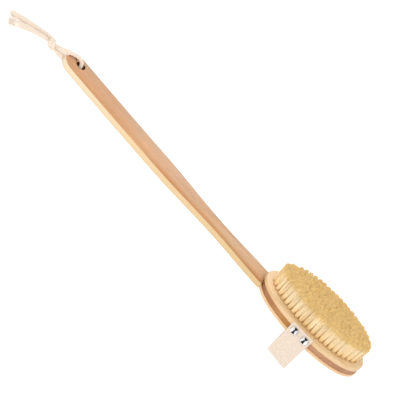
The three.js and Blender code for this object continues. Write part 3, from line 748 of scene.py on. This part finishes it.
def knot_turn(shift):
    """A slanting turn round the knot's axis, whose two ends tuck in towards the axis."""
    side = KNOT_AXIS.cross(UP).normalized()
    above = side.cross(KNOT_AXIS)
    path = []
    for i in range(TURN_POINTS + 1):
        t = i / TURN_POINTS
        angle = KNOT_START + 2 * pi * (KNOT_TURNS * t - (KNOT_TURNS - 1) / 2)
        r = KNOT_RADIUS * (1 - 0.45 * max(0, 1 - t / 0.1) - 0.45 * max(0, 1 - (1 - t) / 0.1))
        slant = 1.5 * cos(angle + 0.9) + 1.2 * (t - 0.5)
        path.append(KNOT_CENTRE + KNOT_AXIS * (shift + slant) + side * (r * cos(angle))
                    + above * (r * sin(angle)))
    return path[::4]


def knot_core(enter, leave):
    """The way of one strand through the knot, from where it enters to where it leaves."""
    a, b, overlap = Vector(enter), Vector(leave), Vector((CORE_OVERLAP, 0, 0))
    inside = [a.lerp(b, share).lerp(KNOT_CENTRE, 0.35) for share in (0.3, 0.7)]
    return [a + overlap, *inside, b - overlap]


loop_path, loop_length = smooth_path(LOOP_ROUTE)
loop = rope("cord_loop_rope", loop_path, CORD_RADIUS, section=loop_section)
finished(loop, "handle", "cotton", cotton, "cord_loop")

# The knot: the doubled cord passes through two slanting turns of itself.
turns = []
for number, shift in enumerate((-KNOT_SHIFT, KNOT_SHIFT)):
    path, _ = smooth_path(knot_turn(shift))
    turns.append(rope(f"knot_turn_{number + 1}", path, CORD_RADIUS, phase=number * 1.1))
for number, (enter, leave) in enumerate((
    (LOOP_ROUTE[0], TAIL_2_ROUTE[0]),
    (LOOP_ROUTE[-1], TAIL_1_ROUTE[0]),
)):
    path, _ = smooth_path(knot_core(enter, leave))
    turns.append(rope(f"knot_core_{number + 1}", path, CORE_CORD_RADIUS, phase=2.0 + number))
for piece in turns:
    finished(piece, "handle", "cotton", cotton)
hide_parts("cord_knot")

# Each tail's route, the share that its end thins to, its loose yarns and how far they flare.
for number, (route, end_share, yarns, flare) in enumerate((
    (TAIL_1_ROUTE, 0.8, 300, 0.9),
    (TAIL_2_ROUTE, 0.88, 640, 1.5),
)):
    label = f"cord_tail_{number + 1}"
    path, length = smooth_path(route)
    tail = rope(f"{label}_rope", path, CORD_RADIUS, end_share, number, tail_section)
    finished(tail, "handle", "cotton", cotton, label)
    fray = frayed(f"{label}_fray", path, yarns, 11 + number, flare)
    finished(fray, "handle", "cotton", loose_cotton_painted_light)

# ---- the boards
MORTISE_LEAD, MORTISE_ROOM, GLUE = 3, 1, 0.02
TUFT_HOLE_SIDES = 18
# Each tuft's hole has a funnel at the top: its radii, and their levels from the face's top.
TUFT_HOLE = (1.85, -1.6), (1.85, -0.2), (2.05, 0.1)


def mortise_tool():
    """The room for the handle's tongue, with a seam's width to spare and open to the handle."""
    mouth, end = -HEAD_A - MORTISE_LEAD, -HEAD_A + TONGUE_LENGTH + MORTISE_ROOM
    half = TONGUE_WIDTH / 2 + SEAM
    outline = [(end, half), (mouth, half), (mouth, -half), (end, -half)]
    return slab("tool", outline, [(TONGUE_BOTTOM - SEAM, 0), (TONGUE_TOP + SEAM, 0)])


def oval_row(a, b):
    """Evenly spaced tufts on an oval row: each one's place and its outward direction."""
    angles = np.linspace(0, 2 * pi, 2001)
    x, y = a * np.cos(angles), b * np.sin(angles)
    lengths = np.concatenate([[0], np.cumsum(np.hypot(np.diff(x), np.diff(y)))])
    count = round(lengths[-1] / TUFT_PITCH)
    at = np.interp((np.arange(count) + ROW_START) * lengths[-1] / count, lengths, angles)
    places = []
    for angle in at:
        px, py = a * cos(angle), b * sin(angle)
        normal = Vector((px / a ** 2, py / b ** 2)).normalized()
        places.append((px, py, normal.x, normal.y))
    return places


def middle_row(inner_a):
    """The straight row inside the innermost oval, whose tufts have no outward direction."""
    count = 2 * floor(inner_a * 0.6 / TUFT_PITCH) + 1
    return [((i - (count - 1) / 2) * TUFT_PITCH, 0, 0, 0) for i in range(count)]


def tuft_holes_tool(tufts):
    holes, faces, sides = [], [], TUFT_HOLE_SIDES
    for x, y, _, _ in tufts:
        first = len(holes)
        for radius, depth in TUFT_HOLE:
            holes += [from_head(x + dx, y + dy, FACE_TOP + depth) for dx, dy in circle(radius, sides)]
        faces += ring_faces(first, sides) + ring_faces(first + sides, sides)
        top = first + 2 * sides
        faces += [tuple(first + i for i in range(sides))[::-1], tuple(top + i for i in range(sides))]
    return new_object("tool", holes, faces)


row_step = FIELD_B / ROWS
tuft_rows = [oval_row(FIELD_A - r * row_step, FIELD_B - r * row_step) for r in range(ROWS)]
tuft_rows[-1] += middle_row(FIELD_A - (ROWS - 1) * row_step)

head_outline = oval(HEAD_A, HEAD_B)
face = slab("head_face_board", head_outline, layers(FACE_BOTTOM, FACE_TOP, SEAM_ROUND, RIM_ROUND))
face = boolean(face, tuft_holes_tool([tuft for row in tuft_rows for tuft in row]), use_self=True)
finished(face, "head", "light_wood", face_wood, "face_board")

core_outline = oval(HEAD_A - GROOVE_DEPTH, HEAD_B - GROOVE_DEPTH)
core = slab("head_core_board", core_outline, layers(BACK_TOP + GLUE, FACE_BOTTOM - GLUE, 0, 0))
finished(boolean(core, mortise_tool()), "head", "dark_wood", dark_wood, "core_board")
back_board = slab("head_back_board", head_outline, layers(0, BACK_TOP, RIM_ROUND, SEAM_ROUND))
finished(boolean(back_board, mortise_tool()), "head", "light_wood", back_wood, "back_board")

# ---- bristles
FIBRES, FIBRE_RADIUS, TIP_SHARE, ROOT_DEPTH = 80, 0.21, 0.88, 1.2
ROOT_SPREAD, TIP_SPREAD = 1.65, (2.95, 2.85, 2.8, 2.8)
# The tips stand a little over the bristles' height, and lower towards the field's two ends. Each
# tuft is trimmed to its own height, lower round its edge, and each bristle to its own again.
TIP_RISE, END_DROOP, TUFT_TRIM, FIBRE_TRIM, TUFT_CROWN = 0.7, 1.5, 0.25, 0.3, 0.75
# How far a tuft leans, and how much a bristle strays at its root, at its tip and in between.
TUFT_LEAN, ROOT_STRAY, TIP_STRAY, BEND = 0.18, 0.045, 0.26, 0.22


def tuft_bristles(tuft, row, t, rng):
    """The paths of a tuft's bristles at the shares t of their height, and for each point its share,
    its bristle's number and its tuft's."""
    x, y, out_x, out_y = tuft
    n = np.arange(FIBRES) + 0.5
    disc = np.sqrt(n / FIBRES)
    turn_by = rng.uniform(0, 2 * pi)
    swirl = n * pi * (3 - sqrt(5)) + turn_by
    aside = rng.normal(0, TUFT_LEAN, 2)
    root = [disc * wave(swirl) + rng.normal(0, ROOT_STRAY, FIBRES) for wave in (np.cos, np.sin)]
    stray = rng.normal(0, TIP_STRAY, (2, FIBRES))
    bend = rng.normal(0, BEND, (2, FIBRES))
    outward = disc * (np.cos(swirl) * out_x + np.sin(swirl) * out_y)
    tall = FACE_TOP + BRISTLE_HEIGHT + TIP_RISE - END_DROOP * abs(x / FIELD_A) ** 3
    tall = tall + rng.normal(0, TUFT_TRIM) + rng.normal(0, FIBRE_TRIM, FIBRES) - TUFT_CROWN * disc ** 2
    tip_spread = TIP_SPREAD[row]
    if row == 0:
        # The outer row is lower on its outward side. On the far side, towards the handle, its
        # tufts are uneven and stay closer together.
        far = smoothstep(-0.2, 0.5, out_y) * (1 - smoothstep(-0.55, -0.1, x / FIELD_A))
        tall -= 0.6 * np.clip(outward + 0.2, 0, 1) + (0.6 + 0.5 * far) * disc ** 3
        tall += rng.normal(0, 0.5) * far
        tip_spread -= 0.6 * far
    spread = ROOT_SPREAD + (tip_spread - ROOT_SPREAD) * t ** 0.85
    path, values = np.empty((FIBRES, len(t), 3)), np.empty((FIBRES, len(t), 3))
    for axis, centre in enumerate((x, y)):
        path[:, :, axis] = (centre + root[axis][:, None] * spread + bend[axis][:, None] * np.sin(pi * t)
                            + (aside[axis] + stray[axis])[:, None] * t ** 1.3)
    low = FACE_TOP - ROOT_DEPTH
    path[:, :, 2] = low + (tall - low)[:, None] * t
    values[:, :, 0] = t
    values[:, :, 1] = rng.uniform(0, 1, FIBRES)[:, None]
    values[:, :, 2] = rng.uniform()
    return path, values


rng = np.random.RandomState(5)
heights = np.array([0, 0.3, 0.65, 1.0])
to_world = np.array(TO_WORLD)
for row, tufts in enumerate(tuft_rows):
    made = [tuft_bristles(tuft, row, heights, rng) for tuft in tufts]
    paths, values = (np.concatenate(arrays) for arrays in zip(*made))
    world_paths = paths @ to_world[:3, :3].T + to_world[:3, 3]
    radii = np.full(paths.shape[:2], FIBRE_RADIUS * MM) * np.array([1, 1, 1, TIP_SHARE])
    tuft_row = prisms(f"tufts_{row + 1}", world_paths, radii, "fibre", values)
    finished(tuft_row, "head", "bristle", bristle, f"bristle_row_{row + 1}")

# ---- handle
SIDE_POINTS, END_POINTS, BORE_SIDES = 150, 28, 48
TONGUE_CHAMFER, TONGUE_TIP, TONGUE_OVERLAP = 2.5, 0.1, 7


def handle_half_width(u):
    if u < WAIST_AT:
        width = SHOULDER_WIDTH + (WAIST_WIDTH - SHOULDER_WIDTH) * smoothstep(0, WAIST_AT, u)
    else:
        width = WAIST_WIDTH + (GRIP_WIDTH - WAIST_WIDTH) * smoothstep(WAIST_AT, GRIP_AT, u)
    return width / 2


def handle_outline():
    """Both sides of the handle, from inside the head's oval to the round end."""
    first, radius = -HEAD_B / 2, GRIP_WIDTH / 2
    bend_at = HANDLE_LENGTH - radius
    side = []
    for i in range(SIDE_POINTS):
        u = first + (bend_at - first) * i / SIDE_POINTS
        side.append((u, handle_half_width(u)))
    for i in range(END_POINTS):
        angle = pi / 2 * i / (END_POINTS - 0.5)
        side.append((bend_at + radius * sin(angle), radius * cos(angle)))
    return side[::-1] + [(u, -v) for u, v in side]


def tongue_tool():
    tip, half = -HEAD_A + TONGUE_LENGTH, TONGUE_WIDTH / 2
    side = [(tip, TONGUE_TIP), (tip, half - TONGUE_CHAMFER), (tip - TONGUE_CHAMFER, half)]
    side.append((-HEAD_A - TONGUE_OVERLAP, half))
    outline = side + [(x, -y) for x, y in side[::-1]]
    return slab("tool", outline, [(TONGUE_BOTTOM, 0), (TONGUE_TOP, 0)])


def bore_tool():
    """The hanging hole's cutter, which widens at both faces of the handle."""
    half = HANDLE_THICKNESS / 2
    lower = [(0, -9), (HOLE_RADIUS + 1.6, -9), (HOLE_RADIUS + 0.9, -half)]
    lower += [(HOLE_RADIUS + 0.35, -half + 0.25), (HOLE_RADIUS, -half + 0.9)]
    return lathe("tool", lower + [(r, -z) for r, z in lower[::-1]], BORE_SIDES, HOLE_PLACE)


stack = layers(0, HANDLE_THICKNESS, HANDLE_ROUND, HANDLE_ROUND)
handle = slab("handle_board", handle_outline(), stack, on_handle, 50)
head_room = slab("tool", oval(HEAD_A + SEAM, HEAD_B + SEAM), [(-9, 0), (16, 0)])
handle = boolean(handle, head_room, sharp=50)
handle = boolean(handle, tongue_tool(), "UNION", 50)
handle = boolean(handle, bore_tool(), sharp=50)
finished(handle, "handle", "handle_wood", handle_wood, "handle")

# ---- strap
STRAP_INNER = HEAD_B + SEAM
MID_HALF, MID_RADIUS = STRAP_INNER + STRAP_THICKNESS / 2, STRAP_CORNER - STRAP_THICKNESS / 2
STRAIGHT_LENGTH = STRAP_TOP + STRAP_DROP - STRAP_CORNER
BEND_LENGTH = pi / 2 * MID_RADIUS
STRAP_LENGTH = 2 * (STRAIGHT_LENGTH + BEND_LENGTH) + 2 * (MID_HALF - MID_RADIUS)
WEAVE_PITCH, WEAVE_DEPTH, SELVAGE = 0.95, 0.1, 0.7
COLUMNS, STATIONS = 90, 480


def strap_line(s):
    """The middle of the webbing at this length: y, z and the outward normal, before it is fitted."""
    mirrored = s > STRAP_LENGTH / 2
    s = min(s, STRAP_LENGTH - s)
    if s < STRAIGHT_LENGTH:
        y, z, out_y, out_z = -MID_HALF, STRAP_TOP - s, -1.0, 0.0
    elif s < STRAIGHT_LENGTH + BEND_LENGTH:
        angle = (s - STRAIGHT_LENGTH) / MID_RADIUS
        y = -MID_HALF + MID_RADIUS * (1 - cos(angle))
        z = -STRAP_DROP + STRAP_CORNER - MID_RADIUS * sin(angle)
        out_y, out_z = -cos(angle), -sin(angle)
    else:
        y = -MID_HALF + MID_RADIUS + s - STRAIGHT_LENGTH - BEND_LENGTH
        z, out_y, out_z = -STRAP_DROP + STRAP_THICKNESS / 2, 0.0, -1.0
    return (-y, z, -out_y, out_z) if mirrored else (y, z, out_y, out_z)


def rounded(share):
    """How thick the webbing is near an edge, which is soft and round."""
    return sqrt(max(0.05, 1 - (1 - share) ** 2))


def strap_place(s, across_share, way):
    """A place on the webbing's outer face, or with way -1 its inner one, and its place in the
    cloth. The webbing follows the head's curve, and its run under the head lies level."""
    y, z, out_y, out_z = strap_line(s)
    width = STRAP_WIDTH + (STRAP_LOWER_WIDTH - STRAP_WIDTH) * smoothstep(-FACE_TOP, STRAP_CORNER, -z)
    x = width * (across_share - 0.5)
    edge = min(1, (width / 2 - abs(x)) / SELVAGE)
    end = min(1, min(s, STRAP_LENGTH - s) / SELVAGE)
    thick = STRAP_THICKNESS / 2 * rounded(edge) * rounded(end)
    weave = WEAVE_DEPTH * sin(pi * s / WEAVE_PITCH) * sin(pi * x / WEAVE_PITCH) * edge
    out = way * (thick - WEAVE_DEPTH + weave)
    y, z = y + out_y * out, z + out_z * out
    level = 1 + x * tan(TILT) / STRAP_DROP if z < 0 else 1
    return from_head(x, y * half_width(x) / HEAD_B, z * level), (s, x, way)


def strap_webbing():
    """The outer sheet and the inner one, closed round their rim."""
    places = [strap_place(STRAP_LENGTH * i / STATIONS, j / COLUMNS, way)
              for way in (1, -1) for i in range(STATIONS + 1) for j in range(COLUMNS + 1)]
    row = COLUMNS + 1
    inner = row * (STATIONS + 1)
    faces = []
    for i in range(STATIONS):
        for j in range(COLUMNS):
            a = i * row + j
            faces.append((a, a + 1, a + row + 1, a + row))
            faces.append((inner + a, inner + a + row, inner + a + row + 1, inner + a + 1))
    rim = list(range(row)) + [i * row + COLUMNS for i in range(1, STATIONS + 1)]
    rim += [STATIONS * row + j for j in range(COLUMNS - 1, -1, -1)]
    rim += [i * row for i in range(STATIONS - 1, 0, -1)]
    for a, b in zip(rim, rim[1:] + rim[:1]):
        faces.append((b, a, a + inner, b + inner))
    made = new_object("strap_webbing", [place for place, _ in places], faces, 180)
    point_attribute(made, "cloth", [cloth for _, cloth in places])
    return made


strap = strap_webbing()
finished(strap, "head", "webbing", webbing, "hand_strap")

# ---- nails
DOME_STEPS, NAIL_SIDES, DOME_EDGE = 12, 40, 0.12
SHANK_RADIUS, SHANK_TIP, SHANK_LENGTH = 0.6, 11.7, 10


def nail_profile():
    """A pointed shank, a flat underside and a domed head that is part of a ball."""
    ball = (NAIL_RADIUS ** 2 + NAIL_HEIGHT ** 2) / (2 * NAIL_HEIGHT)
    profile = [(0, -SHANK_TIP), (SHANK_RADIUS, -SHANK_LENGTH), (SHANK_RADIUS, SEAM)]
    profile += [(NAIL_RADIUS - 0.25, SEAM), (NAIL_RADIUS, SEAM + DOME_EDGE)]
    for i in range(DOME_STEPS + 1):
        angle = asin(NAIL_RADIUS / ball) * (1 - i / DOME_STEPS)
        height = SEAM + ball * cos(angle) - (ball - NAIL_HEIGHT) + DOME_EDGE
        profile.append((ball * sin(angle), height))
    return profile


def strap_outside(x):
    """How far the webbing's outer face is from the head's middle line at x."""
    return (STRAP_INNER + STRAP_THICKNESS) * half_width(x) / HEAD_B


for way, side in ((-1, "near"), (1, "far")):
    for number, x in enumerate((-NAIL_SPACING / 2, NAIL_SPACING / 2)):
        slope = strap_outside(x + 0.5) - strap_outside(x - 0.5)
        normal = Vector((-slope, way, 0)).normalized()
        spin = UP.rotation_difference(normal).to_matrix().to_4x4()
        place = TO_WORLD @ Matrix.Translation((x, way * strap_outside(x), NAIL_LEVEL)) @ spin
        nail = lathe(f"nail_{side}_{number + 1}", nail_profile(), NAIL_SIDES, place)
        finished(nail, "head", "chrome", chrome, f"strap_nail_{side}_{number + 1}")

# ---- floor and light
WHITE = (1, 1, 1, 1)
# The handle slopes down as it slides out, so the floor lies under its cord at the end of that way.
FLOOR_LEVEL, FLOOR_REACH, FLOOR_GLOW = -0.007, 3, 0.8
BRUSH_MIDDLE = (-0.15, 0, 0.03)
AMBIENT = 1.08
# What polished metal sees of the room: a dark band whose half width grows away from the middle.
BAND_HALF, BAND_GROWTH, BAND_EDGE, BAND_LIGHT = 0.24, 0.7, 0.06, 0.03


def stage_plane(name, corners, tone, **shader_values):
    plane = new_object(name, corners, [(0, 1, 2, 3)])
    material, _, shader = new_material(name, **shader_values)
    shader.inputs["Base Color"].default_value = (tone, tone, tone, 1)
    plane.data.materials.append(material)
    return plane


def area_light(name, place, target, size, power):
    light = bpy.data.lights.new(name, "AREA")
    light.shape, light.size, light.energy = "DISK", size, power
    made = bpy.data.objects.new(name, light)
    bpy.context.scene.collection.objects.link(made)
    made.location = place
    made.rotation_mode = "QUATERNION"
    made.visible_glossy = False
    made.rotation_quaternion = (Vector(target) - Vector(place)).to_track_quat("-Z", "Y")


def room_light():
    """Even white light all round, with the dark band only where a glossy surface sees it."""
    world = bpy.data.worlds.new("world")
    bpy.context.scene.world = world
    world.use_nodes = True
    tree = world.node_tree
    sky = coordinates(tree, "Generated")
    sideways = number_math(tree, "ABSOLUTE", component(tree, sky, 0))
    away = number_math(tree, "ABSOLUTE", vector_math(tree, "DOT_PRODUCT", sky, tuple(across)))
    half = number_math(tree, "MULTIPLY_ADD", away, BAND_GROWTH, BAND_HALF)
    past = number_math(tree, "SUBTRACT", sideways, half)
    seen = remap(tree, past, -BAND_EDGE, BAND_EDGE, BAND_LIGHT, 1.0)
    glossy = node(tree, "LightPath").outputs["Is Glossy Ray"]
    level = node(tree, "Mix", {0: glossy, 2: 1.0, 3: seen}, data_type="FLOAT").outputs[0]
    background = tree.nodes["Background"]
    tree.links.new(number_math(tree, "MULTIPLY", level, AMBIENT), background.inputs["Strength"])
    background.inputs["Color"].default_value = WHITE


bpy.context.scene.view_settings.view_transform = "Standard"
floor_corners = [(x * FLOOR_REACH, y * FLOOR_REACH, FLOOR_LEVEL)
                 for x, y in ((-1, -1), (1, -1), (1, 1), (-1, 1))]
stage_plane("floor", floor_corners, 0.4, Roughness=0.9, Specular_IOR_Level=0.1,
            Emission_Color=WHITE, Emission_Strength=FLOOR_GLOW)
# A dark card in front of the brush, which only polished surfaces see.
card = stage_plane("card", [(-0.02, -0.035, 0), (-0.6, -1.5, 0), (0.6, -1.5, 0), (0.02, -0.035, 0)],
                   0.02, Roughness=1.0, Specular_IOR_Level=0.0)
card.visible_camera = card.visible_diffuse = card.visible_shadow = card.visible_transmission = False
area_light("key", (-0.25, -1.25, 0.95), BRUSH_MIDDLE, 0.6, 8)
area_light("fill", (-0.15, 1.3, 0.75), BRUSH_MIDDLE, 0.8, 2.5)
room_light()
